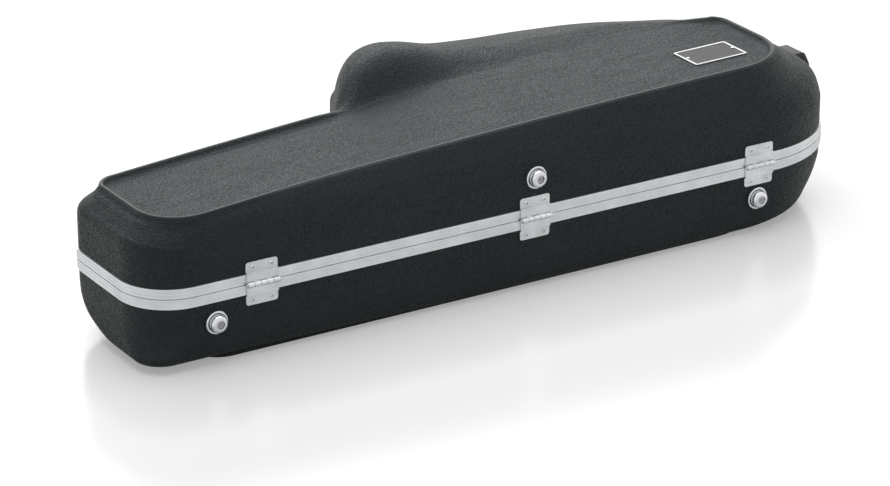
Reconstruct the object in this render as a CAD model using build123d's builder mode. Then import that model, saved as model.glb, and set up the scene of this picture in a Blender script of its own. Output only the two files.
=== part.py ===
from build123d import *
from math import atan2, cos, sin
import os

# Tenor saxophone case: two moulded shells, an aluminium rim, hinges, latches, a handle and a lining.
# Millimetres. +X runs from the narrow end to the wide end, +Y from the hinge side to the latch side,
# +Z up. The origin is the middle of the face that the case rests on.

# Overall plan of the rim, offsets measured from the hinge side
case_length = 880.0
case_width = 340.0
narrow_width = 175.0
shoulder_width = 194.0
wide_end_width = 262.0
narrow_corner = 54.0
narrow_far_corner = 36.0
hinge_side_corner = 123.0
latch_side_corner = 104.0
belly_blend = 150.0
belly_corner = 45.0
shoulder_corner = 60.0

# Stations are measured from the narrow end of a case of the drawn length, and stretch with the case
drawn_length = 880.0
stretch = case_length / drawn_length
shoulder_start = 318.0 * stretch
belly_start = 402.0 * stretch
belly_end = 690.0 * stretch

# Heights from the parting line
base_depth = 72.0
plinth_height = 8.0
lid_straight_wall = 40.0
base_straight_wall = 24.0
lid_shelf_narrow = 68.0
lid_shelf_wide = 88.0
deck_narrow = 76.0
deck_middle = 98.0
deck_wide = 108.0
bell_peak = 127.0

# Walls, rim and clearances
shell_wall = 3.0
rim_height = 10.8
rim_face = 2.0
rim_lip = 3.0
parting_gap = 0.1
parting_groove = 0.4
tongue_inset = 1.0
tongue_width = 1.0
tongue_height = 1.5
tongue_clearance = 0.3
rim_line_depth = 0.3
rim_line_width = 0.5
bead_width = 5.0
bead_height = 5.5
deck_start = 24.0 * stretch
deck_end = 800.0 * stretch
deck_near_narrow = 12.0
deck_near_wide = 18.0
deck_narrow_far = 155.0
deck_shoulder_far = 166.0
deck_bell_far = 222.0
deck_bell_start = 440.0 * stretch
deck_bell_end = 690.0 * stretch
deck_end_turn = 166.0
deck_near_corner = 46.0
deck_near_end_corner = 85.0
deck_far_end_corner = 25.0
deck_far_corner = 22.0
deck_blend = 100.0
deck_soft_corner = 60.0
bead_stop = 336.0 * stretch
bead_stop_near = 100.0
plinth_spine_inset = 13.0
plinth_narrow_inset = 44.0
plinth_wide_inset = 90.0
plinth_far_inset = 42.0
plinth_edge = 3.0

# Lining
seat_gap = 0.3
lid_foam = 9.0
base_foam_drop = 4.0
cavity_floor = 58.0
cover_thickness = 5.0
cover_gap = 0.5
cover_ledge = 5.0
compartment_depth = 46.0
compartment_start = 52.0 * stretch
compartment_length = 66.0
compartment_near = 34.0
compartment_width = 104.0
compartment_corner = 8.0
tab_length = 22.0
tab_width = 16.0
tab_thickness = 1.6
cavity_start = 136.0 * stretch
cavity_spine_inset = 24.0
cavity_wide_inset = 40.0
cavity_far_inset = 24.0
island_start = 400.0 * stretch
island_end = 620.0 * stretch
island_near = 146.0
island_far = 170.0
island_corner = 10.0
block_gap = 0.2

# Hinges
hinge_stations = (130.0 * stretch, 451.0 * stretch, 735.0 * stretch)
hinge_width = 36.0
hinge_reach = 23.0
leaf_thickness = 1.6
leaf_corner = 3.0
barrel_radius = 2.8
barrel_standoff = 0.2
barrel_clearance = 0.3
hinge_pin_radius = 1.3
hinge_pin_clearance = 0.06
hinge_pin_head_radius = 2.0
hinge_pin_head = 0.7
knuckle_count = 5
knuckle_gap = 0.4
hinge_rivet_spacing = 21.0
hinge_rivet_height = 17.5
rivet_head_radius = 2.5
rivet_head_height = 1.4
rivet_shank_radius = 1.2
rivet_clearance = 0.05
rivet_head_slope = 35.0

# Feet on the hinge side: station, height from the parting line
base_feet = ((79.0 * stretch, -33.0), (735.0 * stretch, -39.0))
lid_feet = ((453.0 * stretch, 43.0),)
foot_ring_radius = 12.2
foot_ring_height = 2.0
foot_ring_bore = 9.8
foot_radius = 9.4
foot_height = 9.0
foot_boss_margin = 1.0
foot_boss_height = 0.5
foot_edge = 4.0
foot_recess_radius = 4.4
foot_recess_depth = 3.0
foot_screw_head_radius = 4.0
foot_screw_head = 1.8
foot_screw_radius = 2.0
foot_screw_clearance = 0.1
foot_socket_radius = 1.5
foot_socket_depth = 1.0

# Latches on the latch side: stations, then sizes outwards from the shell's wall
latch_stations = (150.0 * stretch, 445.0 * stretch, 636.0 * stretch)
locking_latch = 1
latch_plate_width = 26.0
latch_plate_top = 12.0
latch_plate_bottom = 45.0
latch_plate_thickness = 1.2
latch_plate_corner = 2.0
latch_rivet_inset = 3.8
lever_pivot_height = 17.0
lever_pivot_out = 5.0
claw_pivot_drop = 10.0
lever_width = 16.0
lever_sheet = 1.4
lever_tip = 45.0
lever_face_out = 7.5
lever_flange_spread = 10.0
lever_flange_low = 30.0
lever_flange_in = 3.4
lever_flange_top = 2.5
lever_face_top = 1.0
ear_spread = 6.4
ear_thickness = 1.4
ear_radius = 2.4
lever_pin_radius = 1.5
claw_pin_radius = 1.4
latch_pin_clearance = 0.05
claw_spread = 18.0
claw_bar = 1.4
claw_bar_depth = 2.8
claw_top = 22.0
claw_bridge_low = 6.0
claw_sheet = 1.4
claw_clearance = 0.4
catch_width = 24.0
catch_low = 11.5
catch_top = 28.5
catch_thickness = 1.2
catch_rib_radius = 1.8
catch_rib_height = 18.0
catch_rib_length = 18.0
catch_rivet_height = 25.3
catch_rivet_spacing = 15.0
lock_height = 37.0
lock_radius = 3.4
lock_clearance = 0.1
lock_back = 5.2
lock_front = 9.4
key_slot_length = 4.6
key_slot_width = 0.9
key_slot_depth = 1.4

# Handle on the latch side
handle_station = 540.0 * stretch
handle_pivot_height = 24.0
handle_pivot_out = 9.0
handle_span = 104.0
handle_drop = 34.0
handle_bend = 15.0
handle_bar_width = 11.0
handle_bar_thickness = 8.0
handle_bar_corner = 3.5
handle_boss_radius = 6.0
grip_length = 58.0
grip_width = 18.0
grip_thickness = 13.5
grip_corner = 5.5
grip_clearance = 0.1
handle_pin_radius = 3.0
handle_pin_length = 10.0
handle_pin_clearance = 0.08
bracket_width = 13.0
bracket_height = 24.0
bracket_depth = 15.5
bracket_gap = 0.6
bracket_corner = 3.0

# Loop at the wide end of the lid
loop_offset = 148.0
loop_width = 30.0
loop_reach = 14.0
loop_top = 57.0
loop_bottom = 24.0
loop_thickness = 4.5
loop_nose = 22.0
loop_corner = 6.0
loop_root = 14.0

# Plate on the deck
badge_station = 728.0 * stretch
badge_offset = 84.0
badge_length = 67.0
badge_width = 44.0
badge_thickness = 1.2
badge_rivet_radius = 1.6
badge_rivet_spacing = 58.0
badge_corner = 2.5
badge_frame = 2.5
badge_frame_depth = 0.4
badge_rivet_head = 0.9
badge_rivet_shank = 0.9
seat_margin = 0.3
seat_cut_height = 4.0

parting_height = base_depth + plinth_height
half_length = case_length / 2
half_width = case_width / 2

os.makedirs("parts", exist_ok=True)


def save(part, name):
    part.label = name
    export_step(part, "parts/" + name + ".step")


def along(station):
    return station - half_length


def across(offset):
    return offset - half_width


def up(height):
    return parting_height + height


shoulder_lean = (belly_start - shoulder_start) / (case_width - shoulder_width)


def plan_points(spine, narrow, wide, far, belly):
    """Corners of the plan, drawn in from its sides, anticlockwise from the narrow end."""
    belly_corner_shift = 0.75 * far - (belly - far) * shoulder_lean
    return (
        (along(narrow), across(spine)),
        (along(case_length - wide), across(spine)),
        (along(case_length - wide), across(wide_end_width - (far + belly) / 2)),
        (along(belly_end), across(case_width - belly)),
        (along(belly_start + belly_corner_shift), across(case_width - belly)),
        (along(shoulder_start + 0.5 * far), across(shoulder_width - far)),
        (along(narrow), across(narrow_width - far)),
    )


plan_radii = (
    narrow_corner,
    hinge_side_corner,
    latch_side_corner,
    belly_blend,
    belly_corner,
    shoulder_corner,
    narrow_far_corner,
)


def plan_face(insets, shrink=0.0):
    """The plan as a face. The insets are hinge side, narrow end, wide end, latch side and belly."""
    with BuildSketch() as plan:
        with BuildLine():
            FilletPolyline(*plan_points(*insets), radius=plan_radii, close=True)
        make_face()
        if shrink != 0:
            offset(amount=-shrink)
    return plan.sketch


def even_insets(inset):
    return (inset, inset, inset, inset, inset)


def tilted_plane(narrow_height, wide_height):
    """A plane over the case at one height over the narrow end and another over the wide end."""
    lean = atan2(wide_height - narrow_height, case_length)
    middle = up((narrow_height + wide_height) / 2)
    return Plane(origin=(0, 0, middle), x_dir=(cos(lean), 0, sin(lean)), z_dir=(-sin(lean), 0, cos(lean)))


# Rows of narrow-end height, wide-end height and the five insets, from the straight wall outwards
lid_levels = (
    (lid_straight_wall, lid_straight_wall, even_insets(rim_face)),
    (lid_shelf_narrow - 11, lid_shelf_wide - 23, (3.5, 5.0, 14.0, 6.0, 9.0)),
    (lid_shelf_narrow - 2.5, lid_shelf_wide - 8, (6.0, 14.0, 42.0, 14.0, 44.0)),
    (lid_shelf_narrow, lid_shelf_wide, (9.0, 26.0, 66.0, 17.0, 76.0)),
)
base_levels = (
    (-base_straight_wall, -base_straight_wall, even_insets(rim_face)),
    (-base_depth * 0.58, -base_depth * 0.58, (2.8, 3.1, 7.5, 3.0, 3.0)),
    (-base_depth * 0.80, -base_depth * 0.80, (3.8, 3.6, 16.0, 9.0, 9.0)),
    (-base_depth * 0.93, -base_depth * 0.93, (5.5, 6.5, 27.0, 18.0, 18.0)),
    (-base_depth, -base_depth, (9.0, 20.0, 46.0, 30.0, 30.0)),
)


def hull(levels, start, shrink):
    """Straight wall from the parting line, then rounded over to the last level."""
    direction = 1 if levels[-1][0] > 0 else -1
    with BuildPart() as body:
        with BuildSketch(Plane.XY.offset(up(start))):
            add(plan_face(levels[0][2], shrink))
        extrude(amount=levels[0][0] - direction * shrink - start)
        for narrow_height, wide_height, insets in levels:
            drop = direction * shrink
            with BuildSketch(tilted_plane(narrow_height - drop, wide_height - drop)):
                add(plan_face(insets, shrink))
        loft()
    return body.part


deck_points = (
    (along(deck_start), across(deck_near_narrow)),
    (along(deck_end), across(deck_near_wide)),
    (along(deck_end), across(deck_end_turn)),
    (along(deck_bell_end), across(deck_bell_far)),
    (along(deck_bell_start), across(deck_bell_far)),
    (along(shoulder_start), across(deck_shoulder_far)),
    (along(deck_start), across(deck_narrow_far)),
)
deck_radii = (
    deck_near_corner,
    deck_near_end_corner,
    deck_far_end_corner,
    deck_blend,
    deck_soft_corner,
    deck_soft_corner,
    deck_far_corner,
)


def deck_face(shrink=0.0):
    with BuildSketch() as deck:
        with BuildLine():
            FilletPolyline(*deck_points, radius=deck_radii, close=True)
        make_face()
        if shrink > 0:
            offset(amount=-shrink)
    return deck.sketch


def arch_block(drop):
    """A block as wide as the case, whose top is a shallow arch that climbs to the wide end."""
    start = (along(0), up(deck_narrow - drop))
    middle = (along(case_length / 2), up(deck_middle - drop))
    end = (along(case_length), up(deck_wide - drop))
    floor = up(lid_straight_wall / 2)
    with BuildPart() as arch:
        with BuildSketch(Plane.XZ):
            with BuildLine():
                ThreePointArc(start, middle, end)
                Polyline(end, (along(case_length), floor), (along(0), floor), start)
            make_face()
        extrude(amount=case_width, both=True)
    return arch.part


def deck_block(drop, shrink):
    """The part of the arch that lies under the deck."""
    with BuildPart() as deck:
        add(arch_block(drop))
        with BuildSketch(Plane.XY.offset(up(0))):
            add(deck_face(shrink))
        extrude(amount=2 * bell_peak, mode=Mode.INTERSECT)
    return deck.part


# Bell bulge rows: station before stretching, peak height, near foot, crest offset, far foot
bell_rows = (
    (316.0, 0.598 * bell_peak, 146.0, 166.0, 182.0),
    (326.0, 0.661 * bell_peak, 152.0, 176.0, 196.0),
    (336.0, 0.764 * bell_peak, 158.0, 186.0, 211.0),
    (348.0, 0.850 * bell_peak, 162.0, 195.0, 228.0),
    (360.0, 0.921 * bell_peak, 165.0, 203.0, 245.0),
    (372.0, 0.961 * bell_peak, 167.0, 209.0, 262.0),
    (386.0, 0.992 * bell_peak, 168.0, 214.0, 281.0),
    (406.0, bell_peak, 168.0, 218.0, 303.0),
    (436.0, 0.945 * bell_peak, 168.0, 221.0, 324.0),
    (484.0, 0.858 * bell_peak, 168.0, 222.0, 331.0),
    (540.0, 0.811 * bell_peak, 170.0, 222.0, 331.0),
    (626.0, 0.756 * bell_peak, 172.0, 219.0, 328.0),
    (700.0, 0.701 * bell_peak, 174.0, 213.0, 310.0),
    (770.0, 0.630 * bell_peak, 176.0, 206.0, 270.0),
)
# The lining fills the narrow tip of the bulge and is hollow from this row on
lining_first_row = 5
bell_foot_height = lid_straight_wall
bell_roundness = 0.55


def bell_bulge(shrink, first_row=0):
    """The raised bulge over the bell, lofted along the case through half ovals."""
    last = len(bell_rows) - 1
    with BuildPart() as bulge:
        for index in range(first_row, last + 1):
            station, peak, near, crest, far = bell_rows[index]
            end_inset = shrink if index == first_row else (-shrink if index == last else 0)
            start = along(station * stretch + end_inset)
            plane = Plane(origin=(start, 0, 0), x_dir=(0, 1, 0), z_dir=(1, 0, 0))
            top = up(peak - shrink)
            foot = up(bell_foot_height)
            shoulder = foot + bell_roundness * (top - foot)
            near_foot = across(near + shrink)
            far_foot = across(far - shrink)
            middle = across(crest)
            near_pull = middle - bell_roundness * (middle - near_foot)
            far_pull = middle + bell_roundness * (far_foot - middle)
            with BuildSketch(plane):
                with BuildLine():
                    Bezier((far_foot, foot), (far_foot, shoulder), (far_pull, top), (middle, top))
                    Bezier((middle, top), (near_pull, top), (near_foot, shoulder), (near_foot, foot))
                    Line((near_foot, foot), (far_foot, foot))
                make_face()
        loft(ruled=True)
    return bulge.part


def lid_volume(start, shrink, first_row=0):
    """Everything inside the lid's surface, drawn in evenly by a wall or a lining."""
    body = hull(lid_levels, start, shrink)
    recess = bead_height if shrink > 0 else 0
    deck = deck_block(shrink + recess, shrink)
    bulge = bell_bulge(shrink, first_row)
    with BuildPart() as volume:
        add(body)
        add(deck)
        add(bulge)
    return volume.part


def deck_recess():
    """The space above the sunken panel, inside the bead, which stops short of the bell bulge."""
    with BuildPart() as space:
        with BuildSketch(Plane.XY.offset(up(lid_straight_wall))):
            add(deck_face(bead_width))
            with Locations((along(bead_stop), across(bead_stop_near))):
                length = deck_end - bead_width - bead_stop
                Rectangle(length, case_width, align=(Align.MIN, Align.MIN))
        extrude(amount=bell_peak)
        add(arch_block(bead_height), mode=Mode.SUBTRACT)
        add(bell_bulge(0), mode=Mode.SUBTRACT)
    return space.part


plinth_insets = (
    plinth_spine_inset,
    plinth_narrow_inset,
    plinth_wide_inset,
    plinth_far_inset,
    plinth_far_inset,
)


def base_volume(start, shrink):
    """Everything inside the base's surface, drawn in evenly, with the plinth that it stands on."""
    body = hull(base_levels, start, shrink)
    with BuildPart() as plinth:
        with BuildSketch(Plane.XY.offset(shrink)):
            add(plan_face(plinth_insets, shrink))
        extrude(amount=2 * plinth_height)
        if shrink == 0:
            fillet(plinth.edges().group_by(Axis.Z)[0], radius=plinth_edge)
    with BuildPart() as volume:
        add(body)
        add(plinth.part)
    return volume.part


def band(low, high, outer_inset, inner_inset):
    """A flat ring that follows the plan between two heights and two insets."""
    with BuildPart() as ring:
        with BuildSketch(Plane.XY.offset(up(low))):
            add(plan_face(even_insets(rim_face), outer_inset - rim_face))
            add(plan_face(even_insets(rim_face), inner_inset - rim_face), mode=Mode.SUBTRACT)
        extrude(amount=high - low)
    return ring.part


def rim(side):
    """One half of the rim: +1 is the lid's, with a groove, and -1 the base's, with a tongue."""
    face_low, face_high = sorted((side * parting_groove, side * rim_height))
    lip_low, lip_high = sorted((max(side, 0) * parting_gap, side * rim_lip))
    tongue_start = rim_face + tongue_inset
    tongue_end = tongue_start + tongue_width
    with BuildPart() as ring:
        add(band(face_low, face_high, 0, rim_face))
        add(band(lip_low, lip_high, rim_face, rim_face + shell_wall))
        for share in (1 / 3, 2 / 3):
            line = side * share * rim_height
            add(band(line, line + rim_line_width, -1, rim_line_depth), mode=Mode.SUBTRACT)
        if side > 0:
            groove_start = tongue_start - tongue_clearance
            groove_end = tongue_end + tongue_clearance
            groove_top = tongue_height + tongue_clearance
            add(band(-1, groove_top, groove_start, groove_end), mode=Mode.SUBTRACT)
        else:
            add(band(0, tongue_height, tongue_start, tongue_end))
    return ring.part


def hinge_side_plane(station):
    """On the shell's wall at the hinge side: local x along the case, local y up, local z outwards."""
    return Plane(origin=(along(station), across(rim_face), up(0)), x_dir=(1, 0, 0), z_dir=(0, -1, 0))


shell_plan = plan_points(*even_insets(rim_face))
belly_wall = shell_plan[3:5]
narrow_wall = shell_plan[5:7]


def latch_side_plane(station):
    """On the latch side's wall: local x towards the narrow end, local y up, local z outwards."""
    start, end = narrow_wall if station < shoulder_start else belly_wall
    run = end[0] - start[0]
    climb = end[1] - start[1]
    length = (run**2 + climb**2) ** 0.5
    share = (along(station) - start[0]) / run
    origin = (along(station), start[1] + share * climb, up(0))
    x_dir = (run / length, climb / length, 0)
    z_dir = (climb / length, -run / length, 0)
    return Plane(origin=origin, x_dir=x_dir, z_dir=z_dir)


def block(plane, x_range, y_range, z_range, corner=0.0):
    """A block between local limits, its corners in the plane rounded where a radius is given."""
    width = x_range[1] - x_range[0]
    height = y_range[1] - y_range[0]
    middle = ((x_range[0] + x_range[1]) / 2, (y_range[0] + y_range[1]) / 2)
    with BuildPart() as solid:
        with BuildSketch(plane.offset(z_range[0])):
            with Locations(middle):
                if corner > 0:
                    RectangleRounded(width, height, corner)
                else:
                    Rectangle(width, height)
        extrude(amount=z_range[1] - z_range[0])
    return solid.part


def rod(plane, point, radius, z_range):
    """A round rod along a plane's normal, at a point of the plane."""
    with BuildPart() as solid:
        with BuildSketch(plane.offset(z_range[0])):
            with Locations(point):
                Circle(radius)
        extrude(amount=z_range[1] - z_range[0])
    return solid.part


def side_plane(plane, height, out):
    """Across a wall plane, through its local x axis at a height and a distance outwards."""
    origin = plane.from_local_coords((0, height, out))
    return Plane(origin=origin, x_dir=plane.z_dir, z_dir=plane.x_dir)


def signed_range(side, near, far):
    return tuple(sorted((side * near, side * far)))


def rivets(plane, points, seat, sheet):
    """Round-head rivets through a sheet that lies on the shell, all in one piece group."""
    with BuildPart() as group:
        for point in points:
            add(rod(plane, point, rivet_shank_radius, (seat, seat + sheet)))
            with BuildSketch(plane.offset(seat + sheet)):
                with Locations(point):
                    Circle(rivet_head_radius)
            extrude(amount=rivet_head_height, taper=rivet_head_slope)
    return group.part


def rivet_holes(plane, points, seat, sheet):
    with BuildPart() as holes:
        for point in points:
            add(rod(plane, point, rivet_shank_radius + rivet_clearance, (seat - 1, seat + sheet + 1)))
    return holes.part


hinge_rivet_points = {
    side: [(x * hinge_rivet_spacing / 2, side * hinge_rivet_height) for x in (-1, 1)] for side in (-1, 1)
}
barrel_out = rim_face + barrel_standoff + barrel_radius


def hinge_leaf(station, side):
    """A hinge leaf: flat on the shell, stepped over the rim, ending in its share of the barrel."""
    seat = hinge_side_plane(station)
    half = hinge_width / 2
    pitch = hinge_width / knuckle_count
    axis = side_plane(seat, 0, barrel_out)
    step_top = rim_height + leaf_thickness
    outer = rim_face + leaf_thickness
    width = (-half, half)
    tab_y = signed_range(side, rim_height, hinge_reach)
    square_y = signed_range(side, rim_height, step_top + leaf_corner)
    step_y = signed_range(side, rim_height, step_top)
    cover_y = signed_range(side, parting_groove + parting_gap, step_top)
    with BuildPart() as leaf:
        add(block(seat, width, tab_y, (0, leaf_thickness), leaf_corner))
        add(block(seat, width, square_y, (0, leaf_thickness)))
        add(block(seat, width, step_y, (0, outer)))
        add(block(seat, width, cover_y, (rim_face, outer)))
        for index in range(knuckle_count):
            start = index * pitch - half
            if (index % 2 == 0) == (side < 0):
                span = (start + knuckle_gap / 2, start + pitch - knuckle_gap / 2)
                add(rod(axis, (0, 0), barrel_radius, span))
            else:
                clear = barrel_radius + barrel_clearance
                add(rod(axis, (0, 0), clear, (start, start + pitch)), mode=Mode.SUBTRACT)
        pin_bore = hinge_pin_radius + hinge_pin_clearance
        add(rod(axis, (0, 0), pin_bore, (-half - 1, half + 1)), mode=Mode.SUBTRACT)
        add(rivet_holes(seat, hinge_rivet_points[side], 0, leaf_thickness), mode=Mode.SUBTRACT)
    return leaf.part


def hinge_pin(station):
    half = hinge_width / 2
    axis = side_plane(hinge_side_plane(station), 0, barrel_out)
    with BuildPart() as pin:
        add(rod(axis, (0, 0), hinge_pin_radius, (-half, half)))
        add(rod(axis, (0, 0), hinge_pin_head_radius, (-half - hinge_pin_head, -half)))
        add(rod(axis, (0, 0), hinge_pin_head_radius, (half, half + hinge_pin_head)))
    return pin.part


def foot_seat(station):
    """On the flat face of the boss under a foot."""
    return hinge_side_plane(station).offset(foot_boss_height)


def foot_ring(station, height):
    seat = foot_seat(station)
    with BuildPart() as ring:
        with BuildSketch(seat):
            with Locations((0, height)):
                Circle(foot_ring_radius)
                Circle(foot_ring_bore, mode=Mode.SUBTRACT)
        extrude(amount=foot_ring_height)
        chamfer(ring.faces().sort_by(Axis.Y)[0].edges(), length=foot_ring_height / 3)
    return ring.part


def foot_button(station, height):
    """A domed stud with a recess for its screw."""
    seat = foot_seat(station)
    with BuildPart() as button:
        with BuildSketch(seat):
            with Locations((0, height)):
                Circle(foot_radius)
        extrude(amount=foot_height)
        fillet(button.faces().sort_by(Axis.Y)[0].edges(), radius=foot_edge)
        recess = (foot_height - foot_recess_depth, foot_height + 1)
        add(rod(seat, (0, height), foot_recess_radius, recess), mode=Mode.SUBTRACT)
        bore = foot_screw_radius + foot_screw_clearance
        add(rod(seat, (0, height), bore, (-1, foot_height)), mode=Mode.SUBTRACT)
    return button.part


def foot_screw(station, height):
    seat = foot_seat(station)
    head_seat = foot_height - foot_recess_depth
    head_top = head_seat + foot_screw_head
    with BuildPart() as screw:
        add(rod(seat, (0, height), foot_screw_radius, (0, head_seat)))
        add(rod(seat, (0, height), foot_screw_head_radius, (head_seat, head_top)))
        with BuildSketch(seat.offset(head_top - foot_socket_depth)):
            with Locations((0, height)):
                RegularPolygon(foot_socket_radius, 6)
        extrude(amount=foot_socket_depth, mode=Mode.SUBTRACT)
    return screw.part


def foot_bosses(feet):
    """Round bosses on the shell that the feet stand on."""
    radius = foot_ring_radius + foot_boss_margin
    with BuildPart() as bosses:
        for station, height in feet:
            add(rod(foot_seat(station), (0, height), radius, (-shell_wall / 2, 0)))
    return bosses.part


latch_plate_rivets = [
    (x * (latch_plate_width / 2 - latch_rivet_inset), y)
    for x in (-1, 1)
    for y in (latch_rivet_inset - latch_plate_bottom, -latch_rivet_inset - latch_plate_top)
]
catch_rivets = [(x * catch_rivet_spacing / 2, catch_rivet_height) for x in (-1, 1)]
claw_pivot_height = lever_pivot_height + claw_pivot_drop


def latch_plate(station):
    """The plate riveted to the base, with two ears that carry the lever."""
    seat = latch_side_plane(station)
    half = latch_plate_width / 2
    axis = side_plane(seat, -lever_pivot_height, lever_pivot_out)
    sheet = latch_plate_thickness
    with BuildPart() as plate:
        plate_y = (-latch_plate_bottom, -latch_plate_top)
        add(block(seat, (-half, half), plate_y, (0, sheet), latch_plate_corner))
        for side in (-1, 1):
            span = signed_range(side, ear_spread / 2, ear_spread / 2 + ear_thickness)
            width = (-lever_pivot_height - ear_radius, -lever_pivot_height + ear_radius)
            add(block(seat, span, width, (sheet, lever_pivot_out)))
            add(rod(axis, (0, 0), ear_radius, span))
        bore = lever_pin_radius + latch_pin_clearance
        add(rod(axis, (0, 0), bore, (-ear_spread, ear_spread)), mode=Mode.SUBTRACT)
        add(rivet_holes(seat, latch_plate_rivets, 0, sheet), mode=Mode.SUBTRACT)
    return plate.part


def latch_lever(station, with_lock):
    """The lever: a face, two flanges, the pin it turns on and the pin that carries the claw."""
    seat = latch_side_plane(station)
    half = lever_width / 2
    pivot = side_plane(seat, -lever_pivot_height, lever_pivot_out)
    claw_pivot = side_plane(seat, -claw_pivot_height, lever_pivot_out)
    face_range = (lever_face_out, lever_face_out + lever_sheet)
    flange_outer = lever_flange_spread / 2 + lever_sheet
    flange_y = (-lever_flange_low, -lever_pivot_height + lever_flange_top)
    with BuildPart() as lever:
        add(block(seat, (-half, half), (-lever_tip, -lever_pivot_height + lever_face_top), face_range))
        for side in (-1, 1):
            span = signed_range(side, lever_flange_spread / 2, flange_outer)
            add(block(seat, span, flange_y, (lever_flange_in, lever_face_out)))
        add(rod(pivot, (0, 0), lever_pin_radius, (-flange_outer, flange_outer)))
        reach = claw_spread / 2 + claw_bar
        add(rod(claw_pivot, (0, 0), claw_pin_radius, (-reach, reach)))
        if with_lock:
            bore = lock_radius + lock_clearance
            add(rod(seat, (0, -lock_height), bore, face_range), mode=Mode.SUBTRACT)
    return lever.part


def latch_claw(station):
    """The claw: two bars from the lever's pin, joined by a bridge that lies over the catch."""
    seat = latch_side_plane(station)
    axis = side_plane(seat, -claw_pivot_height, lever_pivot_out)
    half = claw_spread / 2 + claw_bar
    bridge_in = catch_thickness + catch_rib_radius + claw_clearance
    bar_z = (lever_pivot_out - claw_bar_depth / 2, lever_pivot_out + claw_bar_depth / 2)
    eye = claw_bar_depth / 2 + claw_bar
    with BuildPart() as claw:
        for side in (-1, 1):
            span = signed_range(side, claw_spread / 2, half)
            add(block(seat, span, (-claw_pivot_height, claw_bridge_low + claw_bar_depth), bar_z))
            add(rod(axis, (0, 0), eye, span))
        bridge_z = (bridge_in, bridge_in + claw_sheet)
        add(block(seat, (-half, half), (claw_bridge_low, claw_top), bridge_z))
        bore = claw_pin_radius + latch_pin_clearance
        add(rod(axis, (0, 0), bore, (-half - 1, half + 1)), mode=Mode.SUBTRACT)
    return claw.part


def latch_catch(station):
    """The catch riveted to the lid, with a rounded rib behind the claw's bridge."""
    seat = latch_side_plane(station)
    half = catch_width / 2
    sheet = catch_thickness
    rib = side_plane(seat, catch_rib_height, catch_thickness)
    rib_range = (-catch_rib_length / 2, catch_rib_length / 2)
    with BuildPart() as catch:
        add(block(seat, (-half, half), (catch_low, catch_top), (0, sheet), latch_plate_corner))
        add(rod(rib, (0, 0), catch_rib_radius, rib_range))
        add(block(seat, (-half, half), (catch_low, catch_top), (-seat_cut_height, 0)), mode=Mode.SUBTRACT)
        add(rivet_holes(seat, catch_rivets, 0, sheet), mode=Mode.SUBTRACT)
    return catch.part


def lock_plug():
    """The key cylinder in the middle latch's lever."""
    seat = latch_side_plane(latch_stations[locking_latch])
    slot_x = (-key_slot_width / 2, key_slot_width / 2)
    slot_y = (-lock_height - key_slot_length / 2, -lock_height + key_slot_length / 2)
    with BuildPart() as plug:
        add(rod(seat, (0, -lock_height), lock_radius, (lock_back, lock_front)))
        add(block(seat, slot_x, slot_y, (lock_front - key_slot_depth, lock_front)), mode=Mode.SUBTRACT)
    return plug.part


handle_plane = latch_side_plane(handle_station)
handle_axis = side_plane(handle_plane, -handle_pivot_height, handle_pivot_out)
handle_arm = handle_span / 2 - handle_boss_radius


def handle_bar():
    """The bent bar of the handle, hanging down, with a boss and a pin at each end."""
    bar_height = -handle_pivot_height - handle_drop
    bar_plane = handle_plane.offset(handle_pivot_out)
    with BuildPart() as bar:
        with BuildLine(bar_plane) as route:
            FilletPolyline(
                (-handle_arm, -handle_pivot_height),
                (-handle_arm, bar_height),
                (handle_arm, bar_height),
                (handle_arm, -handle_pivot_height),
                radius=handle_bend,
            )
        start = Plane(origin=route.line @ 0, x_dir=handle_plane.z_dir, z_dir=route.line % 0)
        with BuildSketch(start):
            RectangleRounded(handle_bar_thickness, handle_bar_width, handle_bar_corner)
        sweep()
        for side in (-1, 1):
            boss = signed_range(side, handle_arm - handle_bar_width / 2, handle_span / 2)
            pin = signed_range(side, handle_span / 2, handle_span / 2 + handle_pin_length)
            add(rod(handle_axis, (0, 0), handle_boss_radius, boss))
            add(rod(handle_axis, (0, 0), handle_pin_radius, pin))
    return bar.part


def handle_grip():
    """The soft sleeve around the middle of the bar."""
    middle = side_plane(handle_plane, -handle_pivot_height - handle_drop, handle_pivot_out)
    with BuildPart() as grip:
        with BuildSketch(middle.offset(-grip_length / 2)):
            RectangleRounded(grip_thickness, grip_width, grip_corner)
            bore = (handle_bar_thickness + 2 * grip_clearance, handle_bar_width + 2 * grip_clearance)
            RectangleRounded(*bore, handle_bar_corner + grip_clearance, mode=Mode.SUBTRACT)
        extrude(amount=grip_length)
    return grip.part


bracket_inner = handle_span / 2 + bracket_gap
bracket_y = (-handle_pivot_height - bracket_height / 2, -handle_pivot_height + bracket_height / 2)


def handle_bracket(side):
    """A block on the base that carries one pin of the handle."""
    x_range = signed_range(side, bracket_inner, bracket_inner + bracket_width)
    bore = signed_range(side, bracket_inner - 1, handle_span / 2 + handle_pin_length + bracket_gap)
    with BuildPart() as bracket:
        add(block(handle_plane, x_range, bracket_y, (0, bracket_depth), bracket_corner))
        fillet(bracket.faces().sort_by(Axis.Y)[-1].edges(), radius=bracket_corner / 2)
        add(rod(handle_axis, (0, 0), handle_pin_radius + handle_pin_clearance, bore), mode=Mode.SUBTRACT)
    return bracket.part


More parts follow.
